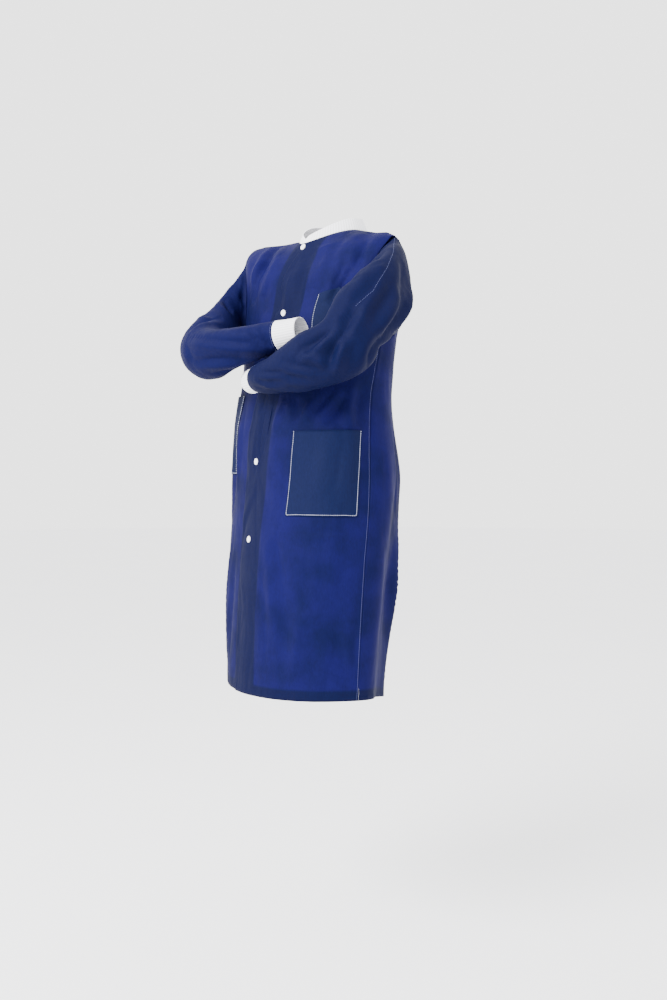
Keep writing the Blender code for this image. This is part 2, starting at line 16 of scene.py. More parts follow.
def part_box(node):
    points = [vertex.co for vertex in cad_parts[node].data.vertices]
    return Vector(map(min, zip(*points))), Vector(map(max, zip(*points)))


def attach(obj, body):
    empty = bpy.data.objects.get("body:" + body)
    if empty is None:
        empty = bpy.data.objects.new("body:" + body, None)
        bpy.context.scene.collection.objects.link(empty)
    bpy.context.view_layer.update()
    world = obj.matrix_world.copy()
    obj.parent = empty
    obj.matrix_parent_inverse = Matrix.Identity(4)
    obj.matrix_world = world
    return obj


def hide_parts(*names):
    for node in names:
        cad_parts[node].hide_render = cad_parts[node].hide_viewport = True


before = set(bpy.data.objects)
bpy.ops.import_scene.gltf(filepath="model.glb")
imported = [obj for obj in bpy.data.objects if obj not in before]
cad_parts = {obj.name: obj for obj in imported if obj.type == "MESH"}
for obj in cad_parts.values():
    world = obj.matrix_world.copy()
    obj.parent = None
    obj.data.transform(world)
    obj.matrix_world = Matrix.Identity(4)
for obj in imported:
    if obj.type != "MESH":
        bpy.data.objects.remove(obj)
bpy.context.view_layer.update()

bl_info = {
    "name": "Visitor gown",
    "version": (1, 0, 0),
    "blender": (4, 5, 0),
    "location": "3D View > Sidebar > Gown",
    "description": "Dresses the solids of a visitor gown with cloth, knit, snaps and stitching",
    "category": "Object",
}

MM = 0.001
SNAP_COUNT = 5
CLOTH_NODES = ("left_front", "right_front", "back_panel", "left_sleeve", "right_sleeve",
               "left_cuff", "right_cuff", "collar")

# noise_vector starts from the clock unless it is seeded, and each run has to give the same.
CRUMPLE_SEED = 1
# Edges of two pieces that lie nearer than this are sewn together.
SEAM_REACH = 0.005
# The facing beside the snap line: how far its middle lies from the snaps, half its width, and
# the breadth over which its colour ends.
PLACKET_SHIFT = 0.004
PLACKET_HALF = 0.040
PLACKET_STEP = 0.004
# The turned-up hem, and the breadth over which its colour ends. The gown's edge below a point
# is sought in the lowest band, within a radius; a point above the limit counts as outside.
HEM_HEIGHT = 0.018
HEM_STEP = 0.003
HEM_BAND = 0.06
HEM_LIMIT = 0.07
HEM_RADIUS = 0.008
# How far a pocket stands off its front, how deep its open top reaches, and how far from its
# sewn edges it has lifted fully.
POCKET_GAP = 0.0014
POCKET_TOP = 0.012
POCKET_RISE = 0.03
# How far stitches lie in from an edge and above the cloth, and a stitch's part of the pitch.
STITCH_INSET = 0.003
STITCH_LIFT = 0.0002
STITCH_SHARE = 0.80
SEAM_SUNK = 0.6  # how much of the thread's thickness shows where a seam pulls it in
# A snap cap in shares of its radius: its height, the steps of its face inwards and up, and its
# rounding. The sink is in metres.
SNAP_HEIGHT = 0.34
SNAP_STEPS = ((0.20, 0.0), (0.14, -0.07), (0.30, 0.03))
SNAP_ROUNDING = 0.08
SNAP_SINK = 0.0003
# The point that the lights face, and each light's azimuth, elevation, distance, width and power.
LIT_POINT = (0.0, -0.05, -0.45)
LAMPS = (("key", 4.0, 34.0, 3.2, 1.7, "key_power"),
         ("fill", 95.0, 20.0, 3.4, 2.2, "fill_power"),
         ("rim", 215.0, 45.0, 3.2, 1.8, "fill_power"))

# The outer face of each dressed piece by name, for what is laid or sewn on it.
OUTER = {}

# ---------------------------------------------------------------- creases
# Each crease is placed as it is seen from one side: view is that side's azimuth in degrees, 52
# for the camera's. Its course runs from one point past a second to a third, each given by how
# far it lies across and how high, in millimetres on the plane of the upright axis. Width is half
# the breadth of the trough and depth its height, minus for a trough and plus for a ridge.
CREASE_COLUMNS = ("view", "from_across", "from_height", "past_across", "past_height",
                  "to_across", "to_height", "width", "depth")

LEFT_FRONT_CREASES = (
    # pulled from the armpit across the chest
    (52, 80, 10, 55, -35, 25, -85, 14, -6.0),
    (52, 35, -65, 10, -110, -10, -145, 11, -6.0),
    (52, 45, -25, 10, -80, -5, -110, 9, -3.0),
    (52, 65, 5, 30, -35, 10, -65, 12, -2.5),
    # soft falls on the chest and below the neck
    (52, -5, -25, -25, -65, -40, -110, 22, 3.0),
    (52, -55, -65, -65, -110, -75, -160, 13, -3.0),
    (52, -85, -70, -95, -115, -100, -160, 13, 2.5),
    (52, -105, -110, -115, -135, -115, -160, 8, -2.0),
    (52, -40, -35, -20, -25, 20, -10, 18, 2.0),
    # fan below the crossed forearms
    (52, 30, -320, 5, -355, -20, -390, 10, -4.5),
    (52, 10, -315, -40, -360, -60, -400, 9, -3.0),
    (52, -75, -330, -80, -360, -85, -395, 9, -3.0),
    (52, -100, -330, -115, -370, -125, -405, 12, 3.0),
    (52, 35, -340, 30, -370, 40, -395, 12, 3.0),
    (52, -135, -335, -145, -405, -155, -475, 14, -2.5),
    (52, -50, -335, -55, -365, -50, -390, 10, 2.0),
    (52, 65, -305, 55, -345, 50, -395, 12, -5.0),
    (52, 20, -400, 10, -475, -5, -555, 18, -4.0),
    # the fold that it was packed with, a trough beside a ridge
    (52, -100, -615, 0, -610, 95, -615, 6, -1.2),
    (52, -100, -620, 0, -615, 95, -620, 6, 1.0),
    # falls to the hem
    (52, -120, -620, -115, -705, -90, -895, 14, -4.0),
    (52, -60, -765, -75, -830, -85, -920, 18, 3.0),
    (52, -5, -790, 15, -850, 30, -925, 20, -2.0),
    (52, 65, -725, 75, -830, 70, -925, 14, -2.5),
    (52, -155, -535, -190, -630, -195, -810, 9, -1.5),
)
RIGHT_FRONT_CREASES = (
    # pulled from the right shoulder and armpit
    (52, -105, -20, -140, -50, -155, -95, 10, -5.0),
    (52, -150, -65, -160, -105, -165, -145, 9, -4.0),
    (52, -125, -40, -150, -65, -165, -110, 8, -3.5),
    (52, -95, -20, -125, -65, -145, -125, 14, 3.0),
    (52, -125, -85, -140, -125, -140, -160, 12, -2.0),
    # the skirt on the side away from the camera
    (-20, -80, -380, -95, -480, -85, -590, 16, -4.0),
    (-20, -40, -360, -35, -450, -50, -540, 14, 3.0),
    (-20, -150, -560, -160, -700, -155, -880, 16, 4.0),
    (-20, -105, -620, -110, -760, -100, -900, 18, -5.0),
    (-20, -60, -640, -70, -780, -60, -905, 18, 4.0),
    (-20, -15, -660, -20, -780, -25, -900, 14, -3.0),
)
RIGHT_SLEEVE_CREASES = (
    # along the forearm and into the cuff
    (52, -300, -205, -225, -215, -125, -230, 9, -4.0),
    (52, -290, -260, -240, -255, -150, -250, 9, -4.5),
    (52, -150, -185, -140, -210, -125, -230, 6, -2.5),
    (52, -175, -190, -150, -215, -125, -230, 6, -2.5),
    (52, -255, -285, -225, -280, -200, -280, 7, -2.5),
    # round the elbow
    (52, -275, -150, -260, -160, -245, -165, 8, -4.0),
    (52, -300, -200, -270, -175, -225, -170, 10, -4.0),
    (52, -305, -220, -295, -245, -290, -275, 12, -2.5),
    # down the upper arm
    (52, -225, -125, -215, -145, -205, -160, 10, -4.0),
    (52, -195, -90, -180, -125, -170, -155, 11, -5.0),
    (52, -220, -115, -255, -135, -275, -155, 12, -3.0),
    (52, -180, -65, -190, -105, -200, -135, 12, 3.0),
    # the outer side of the arm
    (-50, -95, -105, -60, -150, -20, -190, 13, -4.5),
    (-50, -60, -85, -35, -130, 5, -170, 14, 4.0),
    (-50, -110, -150, -70, -195, -25, -225, 12, -4.0),
    (-50, -10, -175, 15, -205, 50, -215, 10, -4.0),
    (-50, -20, -240, 20, -250, 65, -245, 10, -3.5),
    (200, 175, -60, 190, -110, 200, -160, 13, -4.0),
    (200, 160, -110, 175, -150, 190, -190, 12, 3.5),
)
LEFT_SLEEVE_CREASES = (
    # the crook of the elbow and the folds that open from it like a V
    (52, -75, -230, -30, -205, 30, -160, 12, -6.0),
    (52, -85, -250, -40, -220, 10, -185, 9, -3.5),
    (52, -65, -235, -35, -240, -5, -255, 8, -4.0),
    (52, -110, -255, -60, -270, -10, -285, 10, -4.5),
    (52, -155, -275, -85, -290, -10, -295, 9, -3.5),
    (52, -165, -295, -105, -315, -40, -320, 10, 3.0),
    # over the elbow
    (52, 25, -220, 10, -255, 10, -290, 10, 5.0),
    (52, 35, -175, 0, -230, 0, -275, 12, -5.0),
    (52, 50, -215, 40, -245, 30, -285, 14, -3.0),
    # down the upper arm
    (52, 55, -145, 30, -180, 10, -215, 12, -5.0),
    (52, 85, -110, 55, -170, 35, -205, 14, 4.0),
    (52, 105, -65, 75, -110, 45, -150, 14, -4.0),
    (52, 115, -25, 75, -45, 45, -60, 13, -4.0),
    (52, 100, -50, 65, -65, 40, -90, 13, 3.0),
    (52, 150, -135, 120, -190, 80, -240, 14, -6.0),
    (52, 155, -105, 125, -155, 90, -210, 15, 4.0),
    (52, 135, -85, 105, -130, 75, -175, 14, -3.5),
    (52, 100, -210, 80, -240, 70, -275, 12, -4.0),
    # gathers into the cuff
    (52, -165, -275, -130, -280, -95, -280, 6, -2.5),
    (52, -160, -295, -125, -300, -95, -300, 6, -2.5),
    # the outer side of the arm
    (130, -190, -60, -225, -110, -255, -165, 14, -5.0),
    (130, -165, -95, -205, -150, -245, -205, 13, 4.0),
    (130, -150, -130, -190, -175, -235, -225, 12, -4.5),
    (130, -235, -125, -270, -170, -300, -215, 12, -3.5),
    (130, -215, -215, -250, -240, -290, -250, 10, -4.0),
)
BACK_CREASES = (
    # pulled to the armpits over the shoulder blades
    (180, 150, -150, 115, -120, 70, -95, 12, -4.5),
    (180, -150, -160, -110, -125, -60, -105, 11, -5.0),
    (180, -160, -185, -125, -170, -85, -165, 10, -3.0),
    (180, 155, -180, 125, -170, 95, -175, 12, -2.5),
    (180, -120, -60, -95, -110, -80, -170, 14, -4.0),
    # long falls to the waist and the hem
    (180, -45, -80, -55, -190, -40, -310, 18, 3.0),
    (180, 35, -95, 50, -230, 30, -365, 20, -4.0),
    (180, -90, -250, -80, -380, -100, -520, 20, -4.5),
    (180, 100, -230, 120, -360, 105, -470, 16, 3.0),
    (180, 5, -400, -15, -560, 10, -720, 22, 3.5),
    (180, -60, -560, -75, -720, -60, -905, 20, -5.0),
    (180, 70, -520, 85, -700, 80, -900, 22, -5.5),
    (180, 130, -600, 140, -740, 135, -910, 16, 4.0),
    (180, -130, -540, -150, -720, -145, -900, 18, 4.5),
    (180, 20, -690, 25, -800, 15, -915, 14, -3.0),
    (180, -150, -615, 0, -612, 150, -617, 6, -1.2),
    # behind the left side seam
    (110, -35, -380, -45, -480, -30, -600, 14, -4.0),
    (110, -10, -620, -20, -750, -5, -900, 16, 3.5),
)

# Where the thread of the left armhole shows on the arm, across and height from the camera's side.
ARMHOLE_THREAD = ((125, -5), (122, -35), (110, -65), (80, -115), (45, -145))


# ---------------------------------------------------------------- sizes and colours
def length(name, description, default, low, high):
    """A size in metres."""
    return bpy.props.FloatProperty(name=name, description=description, default=default,
                                   min=low, max=high, unit="LENGTH", precision=5)


def hex_colour(name, description, default):
    """A colour as an sRGB hex value."""
    return bpy.props.StringProperty(name=name, description=description, default=default)


class GownSizes(bpy.types.PropertyGroup):
    """Sizes that shape the dressed cloth."""

    cloth_thickness: length("Cloth thickness", "Thickness of the nonwoven shell",
                            0.0005, 0.0002, 0.001)
    knit_thickness: length("Knit thickness", "Thickness of the folded rib knit bands",
                           0.0018, 0.001, 0.003)
    cloth_levels: bpy.props.IntProperty(
        name="Cloth levels", description="How often the shells are subdivided",
        default=3, min=1, max=3)
    crease_strength: bpy.props.FloatProperty(
        name="Crease strength", description="Scales the depth of every placed crease",
        default=1.6, min=0.0, max=2.0, subtype="FACTOR")
    crumple_height: length("Crumple height", "Height of the small crumples between creases",
                           0.0016, 0.0, 0.004)
    seam_fade: length("Seam fade", "Distance over which creases rise from a seam",
                      0.014, 0.001, 0.05)
    pocket_lift: length("Pocket lift", "How far the open top of a pocket stands off",
                        0.0022, 0.0, 0.006)
    snap_radius: length("Snap radius", "Radius of a snap cap", 0.0062, 0.004, 0.009)
    stitch_pitch: length("Stitch pitch", "Distance from one stitch to the next",
                         0.0040, 0.002, 0.008)
    thread_radius: length("Thread radius", "Half the thickness of the sewing thread",
                          0.00042, 0.0002, 0.001)


class GownColours(bpy.types.PropertyGroup):
    """Colours of the finishes."""

    # the doubled navy is also painted as shade over the single cloth of both sleeves
    navy: hex_colour("Cloth, doubled", "Navy where the cloth lies double", "#060A2A")
    violet: hex_colour("Cloth, single", "Blue violet where the cloth is single", "#0B0A3C")
    pocket: hex_colour("Pocket", "Darker navy of the patch pockets", "#0A112F")
    knit: hex_colour("Knit", "White of the rib knit", "#F3F3F8")
    thread: hex_colour("Thread", "Pale sewing thread", "#B9BDD6")
    seam_thread: hex_colour("Seam thread", "Duller thread of the seams", "#4C527C")
    snap: hex_colour("Snap", "White moulded snaps", "#F2F2F6")
    floor: hex_colour("Floor", "Pale studio floor", "#FAFAFC")


class StudioSettings(bpy.types.PropertyGroup):
    """Camera and light."""

    azimuth: bpy.props.FloatProperty(
        name="Camera azimuth", description="Angle of the camera round the gown",
        default=math.radians(52.0), subtype="ANGLE")
    distance: length("Camera distance", "From the camera to the upright axis", 2.4, 1.0, 6.0)
    height: length("Camera height", "Height of the camera", -0.46, -3.0, 3.0)
    focal: bpy.props.FloatProperty(
        name="Focal length", description="In millimetres on a 36 mm long side", default=42.16)
    floor_height: length("Floor height", "Height of the studio floor", -1.40, -3.0, 0.0)
    key_power: bpy.props.FloatProperty(
        name="Key light", description="Power of the large soft light, in watts", default=230.0)
    fill_power: bpy.props.FloatProperty(
        name="Fill light", description="Power of the fill light, in watts", default=8.0)
    world_strength: bpy.props.FloatProperty(
        name="Surround", description="Strength of the pale surround", default=2.9)


def sizes():
    return bpy.context.scene.gown_sizes


def colours():
    return bpy.context.scene.gown_colours


# ---------------------------------------------------------------- materials
def linear(shade):
    """An sRGB hex value as linear RGBA."""
    parts = [int(shade[index:index + 2], 16) / 255.0 for index in (1, 3, 5)]
    return (*[part / 12.92 if part <= 0.04045 else ((part + 0.055) / 1.055) ** 2.4
              for part in parts], 1.0)


def set_inputs(tree, node, inputs):
    """Link the sockets among the values to a node's inputs and set the plain ones on them."""
    for name, value in inputs.items():
        if isinstance(value, bpy.types.NodeSocket):
            tree.links.new(value, node.inputs[name])
        else:
            node.inputs[name].default_value = value


def add_node(tree, kind, settings=None, inputs=None):
    """Add a node, set its properties, and set or link its inputs."""
    node = tree.nodes.new(kind)
    for name, value in (settings or {}).items():
        setattr(node, name, value)
    set_inputs(tree, node, inputs or {})
    return node


def new_material(name):
    """A material with a bare Principled shader, its tree, shader and Object coordinates."""
    made = bpy.data.materials.new(name)
    made.use_nodes = True
    tree = made.node_tree
    place = add_node(tree, "ShaderNodeTexCoord").outputs["Object"]
    return made, tree, tree.nodes["Principled BSDF"], place


def cloudy(tree, place, scale, detail, roughness=0.5):
    """The value of a noise texture."""
    return add_node(tree, "ShaderNodeTexNoise",
                    inputs={"Vector": place, "Scale": scale, "Detail": detail,
                            "Roughness": roughness}).outputs["Fac"]


def spread(tree, value, low, high, start=0.3, end=0.7):
    """Stretch a texture's range from start to end so that it runs from low to high."""
    return add_node(tree, "ShaderNodeMapRange",
                    inputs={"Value": value, "From Min": start, "From Max": end,
                            "To Min": low, "To Max": high}).outputs["Result"]


def scaled(tree, colour, level):
    """A colour times a level."""
    return add_node(tree, "ShaderNodeVectorMath", {"operation": "SCALE"},
                    {0: colour, "Scale": level}).outputs["Vector"]


def relief(tree, *layers):
    """Bumps laid one over another, each as height, strength and distance."""
    below = {}
    for height, strength, distance in layers:
        bump = add_node(tree, "ShaderNodeBump",
                        inputs={"Height": height, "Strength": strength, "Distance": distance,
                                **below})
        below = {"Normal": bump.outputs["Normal"]}
    return below["Normal"]


@functools.lru_cache(maxsize=None)
def spunbonded_cloth(name, single_colour, doubled_and_shade_colour):
    """Spunbonded polypropylene nonwoven: a crisp film of fibres.

    Heat bonding leaves a field of tiny points, so the eye sees a dry matt face, and colour
    that deepens where two layers lie together; the sleeves take that colour as painted shade.
    """
    made, tree, shader, place = new_material(name)
    # each point's share of the darker doubled colour: where the cloth lies double, and painted
    # shade on the sleeves
    doubled = add_node(tree, "ShaderNodeAttribute",
                       {"attribute_type": "GEOMETRY", "attribute_name": "doubled"})
    # clouds of slightly thinner web, 60 to 90 mm across
    clouds = cloudy(tree, place, 13.0, 3.0, 0.55)
    share = add_node(tree, "ShaderNodeMath", {"operation": "MAXIMUM"},
                     {0: spread(tree, clouds, 0.0, 0.75, start=0.38, end=0.66),
                      1: doubled.outputs["Fac"]})
    base = add_node(tree, "ShaderNodeMix", {"data_type": "RGBA"},
                    {"Factor": share.outputs["Value"], "A": single_colour, "B": doubled_and_shade_colour})
    # fibre flecks 2 mm wide and longer upwards, coarser than real ones so that they show
    stretch = add_node(tree, "ShaderNodeMapping",
                       inputs={"Vector": place, "Scale": (1.0, 1.0, 0.35)})
    flecks = cloudy(tree, stretch.outputs["Vector"], 420.0, 2.0, 0.6)
    # bond points at 2.4 mm, twice the real pitch so that the render can hold them
    bonds = add_node(tree, "ShaderNodeTexVoronoi", {"feature": "F1"},
                     {"Vector": place, "Scale": 415.0, "Randomness": 0.35})
    set_inputs(tree, shader, {
        "Base Color": scaled(tree, base.outputs["Result"], spread(tree, flecks, 0.90, 1.12)),
        "Normal": relief(tree, (flecks, 0.12, 0.0006), (bonds.outputs["Distance"], 0.22, 0.0005)),
        "Roughness": spread(tree, clouds, 0.62, 0.74),
        "IOR": 1.49,
        "Specular IOR Level": 0.05,
    })
    return made


@functools.lru_cache(maxsize=None)
def rib_knit(colour):
    """Cotton and polyester 1x1 rib knit: soft upright ribs with a matt, slightly hairy face."""
    made, tree, shader, place = new_material("rib_knit_cotton")
    weave = add_node(tree, "ShaderNodeUVMap", {"uv_map": "ribs"}).outputs["UV"]
    # ribs every 5 mm and loops every 2.6 mm, coarser than real ones so that they show; the map
    # is in metres
    ribs, loops = (add_node(tree, "ShaderNodeTexWave",
                            {"wave_type": "BANDS", "bands_direction": way, "wave_profile": "SIN"},
                            {"Vector": weave, "Scale": scale,
                             "Distortion": distortion}).outputs["Fac"]
                   for way, scale, distortion in (("X", 61.2, 0.0), ("Y", 120.0, 0.6)))
    fuzz = cloudy(tree, place, 900.0, 2.0)
    set_inputs(tree, shader, {
        # the colour darkens to 0.8 in the grooves between the ribs: painted shade
        "Base Color": scaled(tree, colour[:3], spread(tree, ribs, 0.80, 1.0, 0.0, 0.55)),
        "Normal": relief(tree, (ribs, 0.55, 0.0006), (loops, 0.20, 0.0003),
                         (fuzz, 0.15, 0.0003)),
        "Roughness": 0.86,
        "Sheen Weight": 0.25,
        "Sheen Roughness": 0.5,
    })
    return made


@functools.lru_cache(maxsize=None)
def sewing_thread(colour):
    """Spun polyester sewing thread: pale, with a soft twisted gloss."""
    made, tree, shader, place = new_material("spun_polyester_thread")
    # shade changes every few stitches, as thread does where it dips into the cloth
    shade = cloudy(tree, place, 90.0, 1.0)
    set_inputs(tree, shader, {
        "Base Color": scaled(tree, colour[:3], spread(tree, shade, 0.72, 1.05)),
        "Roughness": 0.55,
    })
    return made


@functools.lru_cache(maxsize=None)
def moulded_snap(colour):
    """Moulded acetal snap: bright white and satin, its gloss broken by a fine grain."""
    made, tree, shader, place = new_material("moulded_acetal_snap")
    grain = cloudy(tree, place, 700.0, 2.0)
    set_inputs(tree, shader, {
        "Base Color": colour,
        "Roughness": spread(tree, grain, 0.28, 0.40),
        "IOR": 1.48,
    })
    return made


@functools.lru_cache(maxsize=None)
def studio_paper(colour):
    """Matt pale studio paper, very slightly mottled."""
    made, tree, shader, place = new_material("studio_paper")
    mottling = cloudy(tree, place, 2.0, 2.0)
    set_inputs(tree, shader, {
        "Base Color": scaled(tree, colour[:3], spread(tree, mottling, 0.985, 1.0)),
        "Roughness": 0.9,
    })
    return made


# ---------------------------------------------------------------- cloth shells
def smooth(values):
    clipped = np.clip(values, 0.0, 1.0)
    return clipped * clipped * (3.0 - 2.0 * clipped)


def link(piece):
    bpy.context.scene.collection.objects.link(piece)
    return piece


def only(piece):
    """Make a piece the one that operators act on."""
    bpy.ops.object.select_all(action="DESELECT")
    piece.select_set(True)
    bpy.context.view_layer.objects.active = piece


def apply_modifier(piece, kind, **settings):
    only(piece)
    added = piece.modifiers.new(kind.title(), kind)
    for name, value in settings.items():
        setattr(added, name, value)
    bpy.ops.object.modifier_apply(modifier=added.name)


def subdivide(piece, levels, boundary="PRESERVE_CORNERS"):
    apply_modifier(piece, "SUBSURF", levels=levels, render_levels=levels,
                   boundary_smooth=boundary)


def wall_faces(mesh):
    """Groups of faces that meet at less than 60 degrees: outside, inside and the rims."""
    unseen = set(mesh.faces)
    groups = []
    while unseen:
        queue = [unseen.pop()]
        group = []
        while queue:
            face = queue.pop()
            group.append(face)
            for edge in face.edges:
                for other in edge.link_faces:
                    if other in unseen and face.normal.dot(other.normal) > 0.5:
                        unseen.discard(other)
                        queue.append(other)
        groups.append(group)
    return groups


def outer_sheet(node, name):
    """The outer face of a cloth solid as an open sheet of four-sided faces."""
    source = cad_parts[node].data
    mesh = bmesh.new()
    corners = [mesh.verts.new(vertex.co) for vertex in source.vertices]
    for polygon in source.polygons:
        mesh.faces.new([corners[index] for index in polygon.vertices])
    bmesh.ops.remove_doubles(mesh, verts=mesh.verts, dist=0.00001)
    mesh.normal_update()
    groups = wall_faces(mesh)
    outside = set(max(groups, key=lambda group: sum(face.calc_area() for face in group)))
    bmesh.ops.delete(mesh, geom=[face for face in mesh.faces if face not in outside],
                     context="FACES")
    bmesh.ops.join_triangles(mesh, faces=mesh.faces, cmp_seam=False, cmp_sharp=False,
                             cmp_uvs=False, cmp_vcols=False, cmp_materials=False,
                             angle_face_threshold=math.pi, angle_shape_threshold=math.pi)
    data = bpy.data.meshes.new(name)
    mesh.to_mesh(data)
    mesh.free()
    return link(bpy.data.objects.new(name, data))


def mesh_points(piece):
    points = np.zeros(len(piece.data.vertices) * 3)
    piece.data.vertices.foreach_get("co", points)
    return points.reshape(-1, 3)


def mesh_normals(piece):
    normals = np.zeros(len(piece.data.vertices) * 3, np.float32)
    piece.data.vertex_normals.foreach_get("vector", normals)
    return normals.reshape(-1, 3).astype(float)


def set_points(piece, points):
    piece.data.vertices.foreach_set("co", points.ravel())
    piece.data.update()


def rim_loops(piece):
    """Vertex numbers of each open edge of a sheet, in order."""
    mesh = bmesh.new()
    mesh.from_mesh(piece.data)
    mesh.verts.ensure_lookup_table()
    links = {}
    for edge in mesh.edges:
        if edge.is_boundary:
            first, second = (vertex.index for vertex in edge.verts)
            links.setdefault(first, []).append(second)
            links.setdefault(second, []).append(first)
    mesh.free()
    loops = []
    left = set(links)
    while left:
        start = min(left)
        loop = [start]
        left.discard(start)
        following = links[start][0]
        while following in left:
            loop.append(following)
            left.discard(following)
            ahead = [index for index in links[following] if index in left]
            if not ahead:
                break
            following = ahead[0]
        loops.append(loop)
    return loops


@functools.lru_cache(maxsize=None)
def rim_points(node):
    """Points along the open edges of a cloth solid's outer face, 1 mm apart."""
    piece = outer_sheet(node, "rim_" + node)
    points = mesh_points(piece)
    found = []
    for loop in rim_loops(piece):
        for here, there in zip(loop, loop[1:] + loop[:1]):
            steps = max(int(np.linalg.norm(points[there] - points[here]) / MM), 1)
            for step in range(steps):
                found.append(points[here] + (points[there] - points[here]) * step / steps)
    bpy.data.objects.remove(piece, do_unlink=True)
    return np.array(found)


def point_tree(points):
    tree = KDTree(len(points))
    for index, point in enumerate(points):
        tree.insert(point, index)
    tree.balance()
    return tree


def seam_weight(node, points):
    """0 at the seams to other pieces, 1 away from them; a free edge counts as open cloth."""
    others = point_tree(np.concatenate([rim_points(other) for other in CLOTH_NODES
                                        if other != node]))
    seams = [point for point in rim_points(node) if others.find(point)[2] < SEAM_REACH]
    near = point_tree(seams)
    away = np.array([near.find(point)[2] for point in points])
    return smooth(away / sizes().seam_fade)


def close_seams(piece, node):
    """Put the smoothed edges back on the solid's own edges, so that neighbours meet."""
    points = mesh_points(piece)
    edge = point_tree(rim_points(node))
    rim = np.concatenate(rim_loops(piece))
    moves = np.array([edge.find(points[index])[0] for index in rim]) - points[rim]
    rim_tree = point_tree(points[rim])
    for index, point in enumerate(points):
        _, nearest, away = rim_tree.find(point)
        points[index] = point + moves[nearest] * (1.0 - smooth(away / sizes().seam_fade))
    set_points(piece, points)


def eye_at(azimuth):
    """The camera's place when it is turned round the gown to an azimuth in radians."""
    studio = bpy.context.scene.gown_studio
    return Vector((studio.distance * math.sin(azimuth), -studio.distance * math.cos(azimuth),
                   studio.height))


def seen_point(form, view, across, height):
    """Where a point placed as seen from one side lies on a form, or next to its outline."""
    azimuth = math.radians(view)
    target = Vector((math.cos(azimuth) * across, math.sin(azimuth) * across, height)) * MM
    eye = eye_at(azimuth)
    ahead = (target - eye).normalized()
    spot = form.ray_cast(eye, ahead)[0]
    if spot is None:
        middle = (target - eye).length
        found = [form.find_nearest(eye + ahead * (middle + step * 0.01))
                 for step in range(-40, 41)]
        spot = min(found, key=lambda near: near[3])[0]
    return np.array(spot)


def crease_course(form, crease, shares):
    """Points along a crease on a form: a curve through its three places, at shares of its way."""
    start, middle, end = (seen_point(form, crease["view"], crease[part + "_across"],
                                     crease[part + "_height"])
                          for part in ("from", "past", "to"))
    bend = 2.0 * middle - 0.5 * (start + end)
    return (np.outer((1.0 - shares) ** 2, start)
            + np.outer(2.0 * shares * (1.0 - shares), bend)
            + np.outer(shares ** 2, end))


def crease_heights(points, normals, creases, form):
    """How far each point moves out: a soft trough or ridge with one raised or sunk lip.

    The course has 29 points, and the crease ends 4 widths away. Its section falls off with a
    power of 1.35, and the lip is half as high, 1.7 widths to one side and 0.9 broad.
    """
    heights = np.zeros(len(points))
    shares = np.linspace(0.0, 1.0, 29)
    for row in creases:
        crease = dict(zip(CREASE_COLUMNS, row))
        curve = crease_course(form, crease, shares)
        tangents = np.gradient(curve, axis=0)
        width = crease["width"] * MM
        depth = crease["depth"] * MM * sizes().crease_strength
        reach = 4.0 * width
        near = np.all((points > curve.min(0) - reach) & (points < curve.max(0) + reach), axis=1)
        index = np.nonzero(near)[0]
        gaps = points[index, None, :] - curve[None, :, :]
        lengths = np.linalg.norm(gaps, axis=2)
        closest = lengths.argmin(axis=1)
        rows = np.arange(len(index))
        gap = gaps[rows, closest]
        across = np.cross(tangents[closest], normals[index])
        side = np.sign((across * gap).sum(axis=1))
        away = lengths[rows, closest] / width
        fade = np.sin(math.pi * shares[closest]) ** 0.8
        trough = np.exp(-away ** 1.35)
        lip = np.exp(-((side * away - 1.7) / 0.9) ** 2)
        heights[index] += depth * fade * (trough - 0.5 * lip)
    return heights


def crumple_heights(points, height, breadth, upright):
    """Flat facets between narrow creases, as crisp cloth takes, over a slow swell.

    Cells of the breadth, bent by up to a third of it, rise from their borders and level out at
    0.55. Cells 2.3 times as fine lie over them, and the swell is 1.1 of the height.
    """
    noise.seed_set(CRUMPLE_SEED)
    heights = np.zeros(len(points))
    for index, point in enumerate(points):
        wide = Vector((point[0], point[1], point[2] * upright)) / breadth
        bent = wide + 0.35 * noise.noise_vector(wide * 0.9)
        nearest, second = noise.voronoi(bent)[0][:2]
        facet = min(second - nearest, 0.55) / 0.55
        small, next_small = noise.voronoi(bent * 2.3 + Vector((7.1, 3.3, 1.7)))[0][:2]
        heights[index] = (facet - 0.5 + 1.1 * noise.noise(wide * 0.6)
                          + 0.45 * min(next_small - small, 0.5))
    return heights * height


def surface_tree(piece):
    points = [vertex.co.copy() for vertex in piece.data.vertices]
    faces = [polygon.vertices[:] for polygon in piece.data.polygons]
    return BVHTree.FromPolygons(points, faces)


def add_thickness(piece, thickness):
    """Thicken a sheet inwards; its outer face is kept for what lies on it."""
    OUTER[piece.name] = surface_tree(piece)
    apply_modifier(piece, "SOLIDIFY", thickness=thickness, offset=-1.0, use_even_offset=False,
                   use_quality_normals=True)


def finish_piece(piece, node, material):
    piece.data.materials.clear()
    piece.data.materials.append(material)
    only(piece)
    bpy.ops.object.shade_smooth()
    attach(piece, "root")
    if node:
        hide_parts(node)
    return piece


def set_doubled_and_painted_shade(piece, values):
    """Store how far the cloth lies double, 0 to 1, for the material; on the sleeves the value is
    painted shade.
    """
    layer = piece.data.attributes.new("doubled", "FLOAT", "POINT")
    layer.data.foreach_set("value", np.asarray(values, np.float32))


def snap_centres():
    """Middle of each snap cap's solid, from the neck down."""
    centres = []
    for number in range(1, SNAP_COUNT + 1):
        low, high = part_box(f"snap_cap_{number}")
        centres.append(np.array((low + high) / 2.0))
    return np.array(centres)


def placket_share(points):
    """1 beside the snap line, where the fronts are faced and lap, and 0 away from it."""
    centres = snap_centres()[::-1]
    middle = np.interp(points[:, 2], centres[:, 2], centres[:, 0])
    aside = np.abs(points[:, 0] - middle - PLACKET_SHIFT)
    return 1.0 - smooth((aside - PLACKET_HALF) / PLACKET_STEP)


